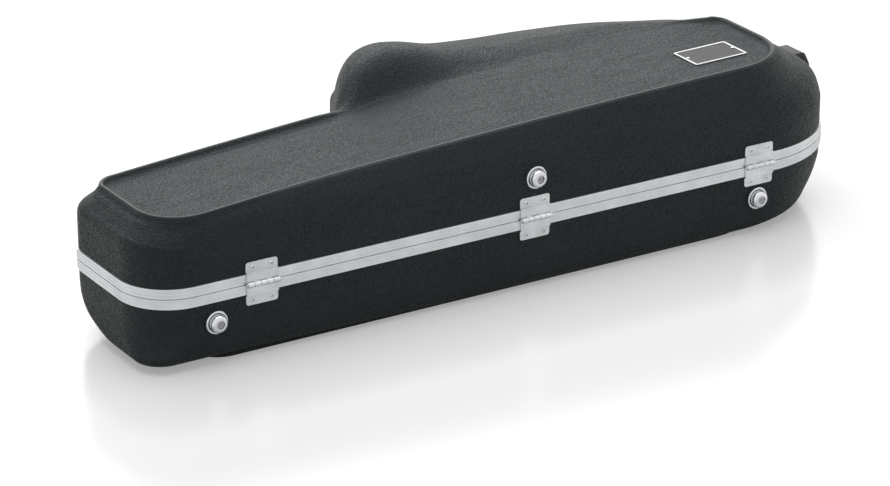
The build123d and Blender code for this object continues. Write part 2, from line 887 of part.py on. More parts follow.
def end_loop(lid_surface):
    """A moulded loop on the lid's wide end, open across the case."""
    origin = (along(case_length - rim_face), across(loop_offset) + loop_width / 2, up(0))
    with BuildPart() as loop:
        with BuildSketch(Plane(origin=origin, x_dir=(1, 0, 0), z_dir=(0, -1, 0))):
            with BuildLine():
                FilletPolyline(
                    (-loop_root, loop_bottom),
                    (loop_reach, loop_bottom),
                    (loop_nose, (loop_bottom + loop_top) / 2),
                    (loop_reach, loop_top),
                    (-loop_root, loop_top),
                    radius=loop_corner,
                    close=True,
                )
            make_face()
            offset(amount=-loop_thickness, mode=Mode.SUBTRACT)
        extrude(amount=loop_width)
        add(lid_surface, mode=Mode.SUBTRACT)
    return loop.part


def deck_height(station):
    """Height of the deck's shallow arch at a station."""
    share = station / case_length
    straight = deck_narrow + share * (deck_wide - deck_narrow)
    rise = deck_middle - (deck_narrow + deck_wide) / 2
    return straight + 4 * rise * share * (1 - share)


badge_slope = (deck_height(badge_station + 1) - deck_height(badge_station - 1)) / 2
badge_plane = Plane(
    origin=(
        along(badge_station),
        across(badge_offset),
        up(deck_height(badge_station) - bead_height),
    ),
    x_dir=(1, 0, badge_slope),
    z_dir=(-badge_slope, 0, 1),
)
badge_half = (badge_length / 2, badge_width / 2)
badge_rivet_points = [(x * badge_rivet_spacing / 2, 0) for x in (-1, 1)]


def badge():
    """A bare plate with a raised border."""
    inner_x = badge_half[0] - badge_frame
    inner_y = badge_half[1] - badge_frame
    floor = badge_thickness - badge_frame_depth
    outline = (-badge_half[0], badge_half[0]), (-badge_half[1], badge_half[1])
    with BuildPart() as plate:
        add(block(badge_plane, *outline, (0, badge_thickness), badge_corner))
        panel = block(badge_plane, (-inner_x, inner_x), (-inner_y, inner_y), (floor, badge_thickness + 1))
        add(panel, mode=Mode.SUBTRACT)
        for point in badge_rivet_points:
            bore = badge_rivet_shank + rivet_clearance
            add(rod(badge_plane, point, bore, (-1, badge_thickness)), mode=Mode.SUBTRACT)
    return plate.part


def badge_rivets():
    floor = badge_thickness - badge_frame_depth
    with BuildPart() as group:
        for point in badge_rivet_points:
            add(rod(badge_plane, point, badge_rivet_shank, (0, floor)))
            add(rod(badge_plane, point, badge_rivet_radius, (floor, floor + badge_rivet_head)))
    return group.part


def latch_side_seats():
    """Thin cuts that leave the base flat under its latch plates and handle brackets."""
    plate = latch_plate_width / 2 + seat_margin
    plate_y = (-latch_plate_bottom - seat_margin, -rim_lip - 1)
    seat_y = (bracket_y[0] - seat_margin, bracket_y[1] + seat_margin)
    with BuildPart() as cuts:
        for station in latch_stations:
            add(block(latch_side_plane(station), (-plate, plate), plate_y, (0, seat_cut_height)))
        for hand in (-1, 1):
            bracket_outer = bracket_inner + bracket_width
            x_range = signed_range(hand, bracket_inner - seat_margin, bracket_outer + seat_margin)
            add(block(handle_plane, x_range, seat_y, (0, seat_cut_height)))
    return cuts.part


def make_lid_shell(surface):
    with BuildPart() as shell:
        add(surface)
        add(lid_volume(0, shell_wall), mode=Mode.SUBTRACT)
        add(deck_recess(), mode=Mode.SUBTRACT)
        add(foot_bosses(lid_feet))
    return shell.part


def make_base_shell():
    with BuildPart() as shell:
        add(base_volume(-rim_lip, 0))
        add(base_volume(0, shell_wall), mode=Mode.SUBTRACT)
        add(foot_bosses(base_feet))
        add(latch_side_seats(), mode=Mode.SUBTRACT)
    return shell.part


def make_lid_lining():
    with BuildPart() as lining:
        add(lid_volume(rim_lip, shell_wall + seat_gap))
        add(lid_volume(0, shell_wall + seat_gap + lid_foam, lining_first_row), mode=Mode.SUBTRACT)
    return lining.part


ground = Plane.XY.offset(up(0))
compartment_x = (along(compartment_start), along(compartment_start + compartment_length))
compartment_y = (across(compartment_near), across(compartment_near + compartment_width))
rebate_x = (compartment_x[0] - cover_ledge, compartment_x[1] + cover_ledge)
rebate_y = (compartment_y[0] - cover_ledge, compartment_y[1] + cover_ledge)
cover_top = -base_foam_drop
cover_bottom = cover_top - cover_thickness
cavity_insets = (cavity_spine_inset, cavity_start, cavity_wide_inset, cavity_far_inset, cavity_far_inset)


def make_base_lining():
    """The padded insert: a bay for the instrument with an island in its bend, and a covered compartment."""
    island_x = (along(island_start), along(island_end))
    island_y = (across(island_near), across(island_far))
    with BuildPart() as lining:
        add(base_volume(-base_foam_drop, shell_wall + seat_gap))
        with BuildSketch(Plane.XY.offset(up(-cavity_floor))):
            add(plan_face(cavity_insets))
        extrude(amount=cavity_floor, mode=Mode.SUBTRACT)
        add(block(ground, island_x, island_y, (-cavity_floor - 1, -base_foam_drop), island_corner))
        well = (-compartment_depth, 0)
        add(block(ground, compartment_x, compartment_y, well, compartment_corner), mode=Mode.SUBTRACT)
        rebate = (cover_bottom - seat_gap, 0)
        add(block(ground, rebate_x, rebate_y, rebate, compartment_corner), mode=Mode.SUBTRACT)
        hinge_x = (rebate_x[1] - compartment_corner, rebate_x[1])
        add(block(ground, hinge_x, rebate_y, rebate), mode=Mode.SUBTRACT)
    return lining.part


# The insert is cut into three foam blocks that butt together: one holds the compartment, and the other
# two meet where the case begins to widen
first_cut = (rebate_x[1] + along(cavity_start)) / 2
second_cut = along(shoulder_start)
insert_blocks = {
    "base_lining_narrow": (-case_length, first_cut - block_gap / 2),
    "base_lining_middle": (first_cut + block_gap / 2, second_cut - block_gap / 2),
    "base_lining_wide": (second_cut + block_gap / 2, case_length),
}


def insert_block(insert, x_range):
    with BuildPart() as piece:
        add(insert)
        add(block(ground, x_range, (-case_width, case_width), (-parting_height, 0)), mode=Mode.INTERSECT)
    return piece.part


cover_hinge_station = rebate_x[1] - cover_gap - cover_thickness / 2


def compartment_cover():
    """A flat cover with a round edge that it turns on."""
    x_range = (rebate_x[0] + cover_gap, cover_hinge_station)
    y_range = (rebate_y[0] + cover_gap, rebate_y[1] - cover_gap)
    corner = compartment_corner - cover_gap
    middle = up((cover_bottom + cover_top) / 2)
    hinge = Plane(origin=(cover_hinge_station, 0, middle), x_dir=(1, 0, 0), z_dir=(0, 1, 0))
    with BuildPart() as cover:
        add(block(ground, x_range, y_range, (cover_bottom, cover_top), corner))
        add(block(ground, (x_range[1] - corner, x_range[1]), y_range, (cover_bottom, cover_top)))
        add(rod(hinge, (0, 0), cover_thickness / 2, y_range))
    return cover.part


def cover_tab():
    start = rebate_x[0] + cover_gap + cover_ledge / 2
    middle = (compartment_y[0] + compartment_y[1]) / 2
    y_range = (middle - tab_width / 2, middle + tab_width / 2)
    return block(ground, (start, start + tab_length), y_range, (cover_top, cover_top + tab_thickness))


def all_rivets(make, stations, points, sheet):
    with BuildPart() as group:
        for station in stations:
            add(rivets(make(station), points, 0, sheet))
    return group.part


lid_surface = lid_volume(rim_lip, 0)
save(make_base_shell(), "base_shell")
save(rim(-1), "base_rim")
base_insert = make_base_lining()
for name, x_range in insert_blocks.items():
    save(insert_block(base_insert, x_range), name)
save(compartment_cover(), "compartment_cover")
save(cover_tab(), "cover_pull_tab")
save(make_lid_shell(lid_surface), "lid_shell")
save(rim(1), "lid_rim")
save(make_lid_lining(), "lid_lining")
save(end_loop(lid_surface), "end_loop")
save(badge(), "name_plate")
save(badge_rivets(), "name_plate_rivets")

for number, station in enumerate(hinge_stations, start=1):
    save(hinge_leaf(station, -1), f"hinge_{number}_base_leaf")
    save(hinge_leaf(station, 1), f"hinge_{number}_lid_leaf")
    save(hinge_pin(station), f"hinge_{number}_pin")
for side, body in ((-1, "base"), (1, "lid")):
    leaf_rivets = all_rivets(hinge_side_plane, hinge_stations, hinge_rivet_points[side], leaf_thickness)
    save(leaf_rivets, f"hinge_rivets_{body}")

for body, feet in (("base", base_feet), ("lid", lid_feet)):
    for number, (station, height) in enumerate(feet, start=1):
        save(foot_ring(station, height), f"{body}_foot_{number}_ring")
        save(foot_button(station, height), f"{body}_foot_{number}_stud")
        save(foot_screw(station, height), f"{body}_foot_{number}_screw")

for number, station in enumerate(latch_stations, start=1):
    save(latch_plate(station), f"latch_{number}_plate")
    save(latch_lever(station, number - 1 == locking_latch), f"latch_{number}_lever")
    save(latch_claw(station), f"latch_{number}_claw")
    save(latch_catch(station), f"latch_{number}_catch")
save(lock_plug(), "lock_plug")
plate_rivets = all_rivets(latch_side_plane, latch_stations, latch_plate_rivets, latch_plate_thickness)
save(plate_rivets, "latch_rivets_base")
save(all_rivets(latch_side_plane, latch_stations, catch_rivets, catch_thickness), "latch_rivets_lid")

save(handle_bar(), "handle_bar")
save(handle_grip(), "handle_grip")
save(handle_bracket(-1), "handle_bracket_wide_end")
save(handle_bracket(1), "handle_bracket_narrow_end")
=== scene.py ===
import bpy
import bmesh
import numpy as np
from math import radians
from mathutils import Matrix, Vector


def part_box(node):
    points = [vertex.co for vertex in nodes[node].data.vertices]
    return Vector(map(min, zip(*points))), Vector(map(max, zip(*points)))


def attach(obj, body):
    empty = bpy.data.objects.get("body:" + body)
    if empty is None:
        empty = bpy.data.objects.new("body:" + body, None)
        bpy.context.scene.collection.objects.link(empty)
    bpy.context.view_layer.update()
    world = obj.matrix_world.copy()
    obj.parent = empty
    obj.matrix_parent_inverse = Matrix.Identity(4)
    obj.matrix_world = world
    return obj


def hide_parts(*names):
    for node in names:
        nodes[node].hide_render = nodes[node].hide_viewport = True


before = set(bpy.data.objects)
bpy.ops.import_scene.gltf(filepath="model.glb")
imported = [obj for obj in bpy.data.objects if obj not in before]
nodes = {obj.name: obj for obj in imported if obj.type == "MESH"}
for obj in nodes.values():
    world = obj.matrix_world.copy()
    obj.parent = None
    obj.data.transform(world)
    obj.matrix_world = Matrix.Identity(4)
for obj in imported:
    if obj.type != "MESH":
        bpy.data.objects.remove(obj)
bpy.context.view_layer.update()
scene = bpy.context.scene

# Surfaces are worked out in millimetres: station from the narrow end, offset from the hinge side
# and height from the parting line, and turned into metres when a mesh is made.
LENGTH, WIDTH = 880.0, 340.0
REST = -80.0
NARROW, SHOULDER, WIDE_END = 175.0, 194.0, 262.0
SHOULDER_START, BELLY_START, BELLY_END = 318.0, 402.0, 690.0
LEAN = (BELLY_START - SHOULDER_START) / (WIDTH - SHOULDER)
PLAN_RADII = (54, 123, 104, 150, 45, 60, 36)
# Points round each corner of the plan, and between the corners. Point 0 is where the narrow end meets
# the corner at the hinge side, and the count goes on along the hinge side.
ARC = 20
RUNS = (174, 10, 14, 60, 14, 60, 44)
INDEX = np.arange(7 * ARC + sum(RUNS))
HINGE_SIDE_END = ARC + RUNS[0]
# Insets of a level from the rim's line: hinge side, narrow end, wide end, narrow part's far side, belly
FACE_INSET = (2.0, 2.0, 2.0, 2.0, 2.0)
# Each level has its height at the narrow end, its height at the wide end and its insets
LID_LEVELS = (
    (40.0, 40.0, FACE_INSET),
    (54.0, 62.0, (3.1, 2.8, 11.0, 4.6, 7.4)),
    (65.5, 80.0, (6.0, 14.0, 42.0, 14.0, 44.0)),
)
BASE_LEVELS = (
    (-24.0, -24.0, FACE_INSET),
    (-42.0, -42.0, (2.8, 3.1, 7.5, 3.0, 3.0)),
    (-57.0, -57.0, (3.4, 2.8, 16.0, 9.0, 9.0)),
    (-69.0, -69.0, (4.6, 3.2, 27.0, 19.0, 18.0)),
    (-74.5, -74.5, (9.0, 7.0, 46.0, 34.0, 30.0)),
)
# The radii of the narrow end's two corners at each level, where the near one is tighter lower down
BASE_CORNERS = ((54, 36), (54, 36), (46, 46), (33, 70), (28, 88))
PLINTH_INSETS = (13.0, 70.0, 90.0, 46.0, 42.0)
PLINTH_CORNERS = (34, 84)
# Rounding of the plinth's edge: distance inward and height above the rest face
PLINTH_EDGE = ((0, 4), (0, 3), (0.4, 1.5), (1.5, 0.4), (3, 0), (8, 0))
# How far the underside bows up or down at each station
BOW = ((0, 2.5), (110, 2.5), (200, 1), (320, -0.5), (430, -1.5), (550, -1.5), (680, -1), (850, 0))
# The flat top of the lid, its bead and the sunken panel inside it
DECK = ((24, 18), (800, 18), (800, 166), (690, 222), (440, 222), (318, 166), (24, 155))
DECK_RADII = (50, 85, 25, 100, 60, 60, 20)
BEAD = 5.5
DECK_LOW, DECK_RISE, DECK_ARCH = 76.0, 32.0, 24.0
DECK_SHIFT = 7.0
# Distance inward from the deck's line and depth below the bead's top
BEAD_PROFILE = (
    (0.7, 0.3),
    (1.8, 0),
    (3.2, 0.1),
    (4.4, 0.9),
    (5.6, 2.6),
    (7, 4.2),
    (8.8, 5.1),
    (12, 5.5),
)
# Rings of the lid on the bead's crest, counted outward from the panel, and how worn each of them is
CREST = ((5, 0.5), (6, 1), (7, 1), (8, 1), (9, 0.5))
CROWN = 2.4
# The ledge under the bead at the narrow part: shares of the way to the bead and shares of the rise
LEDGE = ((0, 0.25, 0.45, 0.65, 0.8, 0.9, 1), (0, 0.24, 0.38, 0.5, 0.64, 0.79, 1))
# Fine contour lines under the bead at the near corner, as shares of the way from the side to the bead
RIDGES = (0.36, 0.58, 0.8)
RIDGE_HEIGHT = 1.1
CREASE_HEIGHT, CREASE_FALL, CREASE_DEPTH = 56.0, 6.5, 1.5
SHOULDER_LEAN_IN = 6.5
# The bell bulge: station, peak height, near foot, crest and far foot
BULGE = np.array(
    (
        (311, 76, 146, 166, 182),
        (321, 85, 152, 176, 196),
        (331, 99, 158, 186, 211),
        (343, 111, 162, 195, 230),
        (355, 120, 165, 203, 250),
        (368, 125, 167, 209, 270),
        (384, 128, 168, 214, 290),
        (406, 128, 168, 218, 308),
        (436, 122, 168, 221, 325),
        (484, 109, 168, 222, 331),
        (540, 102, 170, 222, 331),
        (626, 95, 172, 219, 328),
        (700, 88, 174, 213, 310),
        (770, 80, 176, 206, 270),
    ),
    float,
)
BULGE_FOOT = 40.0
BULGE_BLEND = 22.0
BULGE_END_FALL = 0.6
SLOPES = np.gradient(BULGE[:, 1:], BULGE[:, 0], axis=0)
SHELL_WALL = 3.0
# The lid lining's two faces, inward from the shell's outer face
LINING_BACK, LINING_FRONT = 3.3, 12.3
# Its rounded lower edge: inset from the plan's line and height
LINING_EDGE = ((5.5, 4.0), (6.2, 3.2), (8.0, 2.8), (11.6, 2.8), (13.4, 3.2), (14.1, 4.0))
# In metres: the gap between the blocks of the base's insert, the crown of the compartment's cover
# and the width of the name plate's border
BLOCK_GAP, COVER_CROWN, PLATE_BORDER = 0.0002, 0.0012, 0.0028
# Stations of the hinges and the latches, and station and height of each foot
HINGES = (130.0, 451.0, 735.0)
LATCHES = (150.0, 445.0, 636.0)
BASE_FEET = ((79.0, -33.0), (735.0, -39.0))
LID_FEET = ((453.0, 43.0),)
# Turned profiles: radius and distance along the axis
FOOT_BOSS = ((14.2, -5), (13.4, -0.6), (13.1, 0.2), (12.6, 0.48), (0.4, 0.48))
RIVET = (
    (1.2, -1.6),
    (2.5, 0),
    (2.5, 0.4),
    (2.3, 0.95),
    (1.8, 1.3),
    (1.35, 1.3),
    (1.0, 0.95),
    (0.85, 0.45),
    (0.2, 0.4),
)
RIVET_SIDES = 40
# The first band of the rivet's profile that lies in the hollow of its head
RIVET_HOLLOW = 5


def row(points):
    """Station, offset and height in millimetres to the row frame in metres."""
    return (np.asarray(points, float) - (LENGTH / 2, WIDTH / 2, REST)) / 1000


def plan_points(spine, narrow, wide, far, belly):
    """The plan's seven corners, moved inward by an inset for each side."""
    shift = 0.75 * far - (belly - far) * LEAN
    return (
        (narrow, spine),
        (LENGTH - wide, spine),
        (LENGTH - wide, WIDE_END - (far + belly) / 2),
        (BELLY_END, WIDTH - belly),
        (BELLY_START + shift, WIDTH - belly),
        (SHOULDER_START + 0.5 * far, SHOULDER - far),
        (narrow, NARROW - far),
    )


def outline(points, radii, inward=0.0):
    """A closed line with rounded corners. Every such line has as many points, in the same order."""
    pts = np.array(points, float)
    count = len(pts)
    arcs = []
    for i in range(count):
        a, b, c = pts[i - 1], pts[i], pts[(i + 1) % count]
        u, v = a - b, c - b
        lu, lv = np.linalg.norm(u), np.linalg.norm(v)
        u, v = u / lu, v / lv
        angle = np.arccos(np.clip(u @ v, -1, 1))
        radius = radii[i]
        cut = radius / np.tan(angle / 2)
        most = min(lu, lv) * 0.49
        if cut > most:
            radius *= most / cut
            cut = most
        w = (u + v) / np.linalg.norm(u + v)
        centre = b + w * radius / np.sin(angle / 2)
        s, e = b + u * cut - centre, b + v * cut - centre
        turn = np.pi - angle
        f = np.linspace(0, 1, ARC)[:, None]
        arcs.append(centre + (np.sin((1 - f) * turn) * s + np.sin(f * turn) * e) / np.sin(turn))
    line = []
    for i in range(count):
        start, end = arcs[i][-1], arcs[(i + 1) % count][0]
        f = np.linspace(0, 1, RUNS[i] + 2)[1:-1, None]
        line += [arcs[i], start + (end - start) * f]
    line = np.concatenate(line)
    return line + inward * inward_normals(line) if inward else line


def inward_normals(line):
    along = np.roll(line, -1, 0) - np.roll(line, 1, 0)
    along /= np.linalg.norm(along, axis=1)[:, None]
    return np.column_stack([-along[:, 1], along[:, 0]])


def step(x, low, high):
    """0 below low, 1 above high and smooth between them."""
    t = np.clip((x - low) / (high - low), 0, 1)
    return t * t * (3 - 2 * t)


def soft_max(a, b, blend):
    """The larger of two heights, rounded where they meet."""
    near = np.clip(blend - np.abs(a - b), 0, None) / blend
    return np.maximum(a, b) + near * near * blend / 4


def through(rings, parts):
    """Smooth rings through the given ones."""
    rings = np.array(rings)
    last = len(rings) - 1
    made = []
    for i in range(last):
        p0, p1, p2, p3 = rings[max(i - 1, 0)], rings[i], rings[i + 1], rings[min(i + 2, last)]
        for j in range(parts):
            t = j / parts
            curve = 2 * p1 + (p2 - p0) * t + (2 * p0 - 5 * p1 + 4 * p2 - p3) * t**2
            made.append((curve + (3 * p1 - p0 - 3 * p2 + p3) * t**3) / 2)
    return made + [rings[last]]


def level_ring(level, shrink, drop, corners=None):
    """A ring round the case at one of its levels."""
    radii = (corners[0], *PLAN_RADII[1:6], corners[1]) if corners else PLAN_RADII
    line = outline(plan_points(*level[2]), radii, shrink)
    height = level[0] + (level[1] - level[0]) * line[:, 0] / LENGTH - drop
    return np.column_stack([line, height])


def deck_line(inward):
    """The deck's outline, which comes nearer to the hinge side towards the narrow end."""
    line = outline(DECK, DECK_RADII, inward)
    line[:, 1] -= DECK_SHIFT * (1 - step(line[:, 0], 40, 240)) * (1 - step(line[:, 1], 20, 140))
    return line


def deck_height(station):
    """The height of the bead's top, which rises towards the wide end."""
    share = station / LENGTH
    return DECK_LOW + DECK_RISE * share + DECK_ARCH * share * (1 - share)


def bulge_curve(station):
    """Peak, near foot, crest and far foot at each station, on smooth curves through the rows."""
    x = np.clip(station, BULGE[0, 0], BULGE[-1, 0])
    i = np.clip(np.searchsorted(BULGE[:, 0], x) - 1, 0, len(BULGE) - 2)
    width = BULGE[i + 1, 0] - BULGE[i, 0]
    t = ((x - BULGE[i, 0]) / width)[..., None]
    width = width[..., None]
    a, b = BULGE[i, 1:], BULGE[i + 1, 1:]
    curve = a * (1 + 2 * t) * (1 - t) ** 2 + b * t * t * (3 - 2 * t)
    return curve + width * (SLOPES[i] * t * (1 - t) ** 2 - SLOPES[i + 1] * t * t * (1 - t))


def bulge_height(station, offset, shrink):
    """The bulge's height over each point, round across its crest."""
    peak, near, crest, far = np.moveaxis(bulge_curve(station), -1, 0)
    beyond = np.clip(BULGE[0, 0] - station, 0, None) + np.clip(station - BULGE[-1, 0], 0, None)
    peak = peak - shrink - BULGE_END_FALL * beyond
    near, far = near + shrink, far - shrink
    u = np.where(offset < crest, (offset - near) / (crest - near), (far - offset) / (far - crest))
    t = np.linspace(0, 1, 60)
    across = 1.35 * (1 - t) * t**2 + t**3
    rise = 1.65 * (1 - t) ** 2 * t + 3 * (1 - t) * t**2 + t**3
    return np.where(u > 0, BULGE_FOOT + (peak - BULGE_FOOT) * np.interp(u, across, rise), 0)


def with_bulge(points, shrink):
    points = points.copy()
    lift = bulge_height(points[..., 0], points[..., 1], shrink)
    points[..., 2] = soft_max(points[..., 2], lift, BULGE_BLEND)
    return points


# Shares of the way from the top of the side to the bead
PATH = np.linspace(0, 1, 41)[1:]
# The bead runs all round the deck apart from where the bulge rises over it
BEAD_HERE = 1 - step(INDEX, 238, 256) * (1 - step(INDEX, 374, 398))


def leaned(ring):
    """The wall leans in more where the belly begins, and runs on into the bulge's flank."""
    x, y, z = ring.T
    share = step(x, 325, 385) * (1 - step(x, 410, 470)) * step(y, 215, 270) * step(z, 40, 58)
    ring = ring.copy()
    ring[:, :2] += inward_normals(ring[:, :2]) * (SHOULDER_LEAN_IN * share)[:, None]
    return ring


def creased(ring):
    """A soft crease across the narrow end that runs round the near corner and fades."""
    x, _, z = ring.T
    hinge_side = INDEX < HINGE_SIDE_END
    height = CREASE_HEIGHT - CREASE_FALL * step(np.where(hinge_side, INDEX, 0), 0, 24)
    share = np.where(hinge_side, 1 - step(x, 34, 70), step(INDEX, 462, 484))
    swell = CREASE_DEPTH * share * np.exp(-(((z - height) / 1.9) ** 2))
    ring = ring.copy()
    ring[:, :2] -= inward_normals(ring[:, :2]) * swell[:, None]
    return ring


def lid_rings(shrink, detail):
    """Rings of the lid's surface from the rim up over the side to the edge of the sunken panel.

    The outer face has the bead and its finer forms, and the hidden faces are plainer."""
    straight = [level_ring((h, h, FACE_INSET), shrink, 0) for h in (3, 6, 9, 16, 24)]
    shoulder = [level_ring(level, shrink, shrink) for level in LID_LEVELS]
    rings = straight + [leaned(ring) for ring in through(shoulder, 10 if detail else 4)]
    if detail:
        rings = [creased(ring) for ring in rings]
    start = rings[-1]
    deck = deck_line(shrink)
    top = deck_height(deck[:, 0]) - shrink
    bead = BEAD_HERE if detail else np.zeros(len(INDEX))
    edge = top - BEAD * (1 - bead) - 1.2 * bead
    side = np.clip(inward_normals(start[:, :2])[:, 1], 0, 1) if detail else 0
    shelf = 1 - step(deck[:, 0], 70, 185) if detail else 0
    ridges = step(INDEX, 0, 12) * (1 - step(deck[:, 0], 60, 125)) * (INDEX < HINGE_SIDE_END)
    if not detail:
        ridges = 0
    for t in PATH if detail else PATH[3::4]:
        plain = t**1.15
        round_over = 1 - (1 - t) ** 1.3
        rise = side * round_over + (1 - side) * plain
        rise = shelf * np.interp(t, *LEDGE) + (1 - shelf) * rise
        lines = sum(np.exp(-(((t - ridge) / 0.05) ** 2)) for ridge in RIDGES)
        height = start[:, 2] + (edge - start[:, 2]) * rise + RIDGE_HEIGHT * lines * ridges
        rings.append(np.column_stack([start[:, :2] + (deck - start[:, :2]) * t, height]))
    reach = 1.0 if detail else 0.3
    for inward, drop in BEAD_PROFILE:
        line = deck_line(shrink + inward * reach)
        height = deck_height(line[:, 0]) - shrink - BEAD + bead * (BEAD - drop)
        rings.append(np.column_stack([line, height]))
    first = len(straight)
    return rings[:first] + [with_bulge(ring, shrink) for ring in rings[first:]]


def patch(ring):
    """A grid of plan points that fills a ring, and the ring's points along the grid's border."""
    count = len(ring)
    first, second, third, last = 10, 204, 268, 462
    near = np.arange(first, second + 1)
    far = np.arange(last, third - 1, -1)
    narrow = np.arange(first + count, last - 1, -1) % count
    wide = np.arange(second, third + 1)
    u = np.linspace(0, 1, len(near))[:, None, None]
    v = np.linspace(0, 1, len(wide))[None, :, None]
    a, b, c, d = ring[near][:, None], ring[far][:, None], ring[narrow][None], ring[wide][None]
    narrow_corners = (1 - v) * ring[first] + v * ring[last]
    wide_corners = (1 - v) * ring[second] + v * ring[third]
    corners = (1 - u) * narrow_corners + u * wide_corners
    grid = (1 - v) * a + v * b + (1 - u) * c + u * d - corners
    index = np.full(grid.shape[:2], -1)
    index[:, 0], index[:, -1], index[0, :], index[-1, :] = near, far, narrow, wide
    return grid, index


def lid_patch(ring, shrink):
    """The sunken panel, a little crowned from side to side and flat under the plate."""
    grid, index = patch(ring)
    u = np.linspace(-1, 1, grid.shape[0])[:, None]
    v = np.linspace(-1, 1, grid.shape[1])[None]
    crown = CROWN * (1 - v * v) * (1 - u**6) * (1 - step(grid[..., 0], 560, 680))
    grid[..., 2] = deck_height(grid[..., 0]) - BEAD - shrink + crown
    return with_bulge(grid, shrink), index


def closed_mesh(rings, patches):
    """Vertices and faces of a stack of rings, closed by a patch at each end."""
    count = len(rings[0])
    points = list(np.concatenate(rings))
    faces = []
    for i in range(len(rings) - 1):
        for j in range(count):
            k = (j + 1) % count
            faces.append((i * count + j, i * count + k, (i + 1) * count + k, (i + 1) * count + j))
    for (grid, index), first in zip(patches, (0, (len(rings) - 1) * count)):
        ids = index + first
        inside = index < 0
        ids[inside] = len(points) + np.arange(inside.sum())
        points += list(grid[inside])
        for i in range(ids.shape[0] - 1):
            for j in range(ids.shape[1] - 1):
                faces.append((ids[i, j], ids[i + 1, j], ids[i + 1, j + 1], ids[i, j + 1]))
    return np.array(points), faces


def bowed(points):
    """The base's underside is a little higher at the narrow end and lower in the middle."""
    points = np.array(points)
    share = np.clip((-24 - points[..., 2]) / 48, 0, 1)
    bow = np.interp(points[..., 0], *zip(*BOW))
    points[..., 2] += bow * share
    return points


def base_rings(shrink):
    """Rings of the base's surface from the rim down over the side to the face it rests on."""
    straight = [level_ring((h, h, FACE_INSET), shrink, 0) for h in (-3, -6, -9, -16)]
    levels = zip(BASE_LEVELS, BASE_CORNERS)
    shoulder = [level_ring(level, shrink, -shrink, corners) for level, corners in levels]
    rings = [bowed(ring) for ring in straight + through(shoulder, 6)]
    radii = (PLINTH_CORNERS[0], *PLAN_RADII[1:6], PLINTH_CORNERS[1])
    foot = outline(plan_points(*PLINTH_INSETS), radii, shrink)
    rings.append(bowed(np.column_stack([foot, np.full(len(foot), BASE_LEVELS[-1][0] + shrink)])))
    for inward, height in PLINTH_EDGE:
        line = outline(plan_points(*PLINTH_INSETS), radii, shrink + inward)
        rings.append(np.column_stack([line, np.full(len(line), REST + shrink + height)]))
    return rings


def new_object(node, points, faces, materials, body):
    """A smooth piece that replaces a CAD node and moves with its body. Points are in metres."""
    name = node + "_visual"
    mesh = bpy.data.meshes.new(name)
    mesh.from_pydata([tuple(p) for p in points], [], [tuple(int(i) for i in f) for f in faces])
    work = bmesh.new()
    work.from_mesh(mesh)
    bmesh.ops.recalc_face_normals(work, faces=work.faces)
    work.to_mesh(mesh)
    work.free()
    mesh.shade_smooth()
    obj = bpy.data.objects.new(name, mesh)
    scene.collection.objects.link(obj)
    for material in materials:
        mesh.materials.append(material)
    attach(obj, body)
    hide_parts(node)
    return obj


def turned(profile, centre, out, sides=40):
    """A turned solid. Rows of the profile are radius and distance along the axis, in millimetres."""
    out = np.array(out, float)
    out /= np.linalg.norm(out)
    u = np.cross(out, (0, 0, 1))
    u /= np.linalg.norm(u)
    v = np.cross(out, u)
    angles = np.linspace(0, 2 * np.pi, sides, endpoint=False)
    points, faces = [], []
    for radius, height in profile:
        across = np.cos(angles)[:, None] * u + np.sin(angles)[:, None] * v
        points += list(centre + out * height + radius * across)
    for i in range(len(profile) - 1):
        for j in range(sides):
            k = (j + 1) % sides
            faces.append((i * sides + j, i * sides + k, (i + 1) * sides + k, (i + 1) * sides + j))
    faces.append(tuple(range(sides)))
    faces.append(tuple(range((len(profile) - 1) * sides, len(profile) * sides)))
    return points, faces


def merged(groups):
    """Several groups of points and faces as one."""
    points, faces = [], []
    for pts, fcs in groups:
        first = len(points)
        points += list(pts)
        faces += [tuple(i + first for i in f) for f in fcs]
    return points, faces


def two_grids(nx, ny):
    """Faces of two grids of points, one over the other."""
    layer = (nx + 1) * (ny + 1)
    faces = []
    for first in (0, layer):
        for i in range(nx):
            for j in range(ny):
                a = first + i * (ny + 1) + j
                faces.append((a, a + 1, a + ny + 2, a + ny + 1))
    return faces


# Materials


def node_material(name):
    material = bpy.data.materials.new(name)
    material.use_nodes = True
    tree = material.node_tree
    return material, tree, tree.nodes["Principled BSDF"]


def add_node(tree, kind, inputs=None, **settings):
    node = tree.nodes.new(kind)
    for key, value in settings.items():
        setattr(node, key, value)
    for key, value in (inputs or {}).items():
        node.inputs[key].default_value = value
    return node


def place(tree, scale=(1, 1, 1)):
    """Object coordinates in metres, stretched."""
    coord = add_node(tree, "ShaderNodeTexCoord")
    mapping = add_node(tree, "ShaderNodeMapping", {"Scale": scale})
    tree.links.new(coord.outputs["Object"], mapping.inputs["Vector"])
    return mapping.outputs["Vector"]


def noise(tree, vector, scale, detail=3.0, roughness=0.55):
    inputs = {"Scale": scale, "Detail": detail, "Roughness": roughness}
    node = add_node(tree, "ShaderNodeTexNoise", inputs)
    tree.links.new(vector, node.inputs["Vector"])
    return node.outputs["Fac"]


def spread(tree, value, low, high, start=0.35, end=0.65):
    """Turns a texture value into a range."""
    limits = {"From Min": start, "From Max": end, "To Min": low, "To Max": high}
    node = add_node(tree, "ShaderNodeMapRange", limits)
    tree.links.new(value, node.inputs["Value"])
    return node.outputs["Result"]


def tint(tree, value, dark, light, start=0.35, end=0.65):
    """Turns a texture value into a colour between two."""
    ramp = add_node(tree, "ShaderNodeValToRGB")
    ramp.color_ramp.elements[0].position = start
    ramp.color_ramp.elements[0].color = (*dark, 1)
    ramp.color_ramp.elements[1].position = end
    ramp.color_ramp.elements[1].color = (*light, 1)
    tree.links.new(value, ramp.inputs["Fac"])
    return ramp.outputs["Color"]


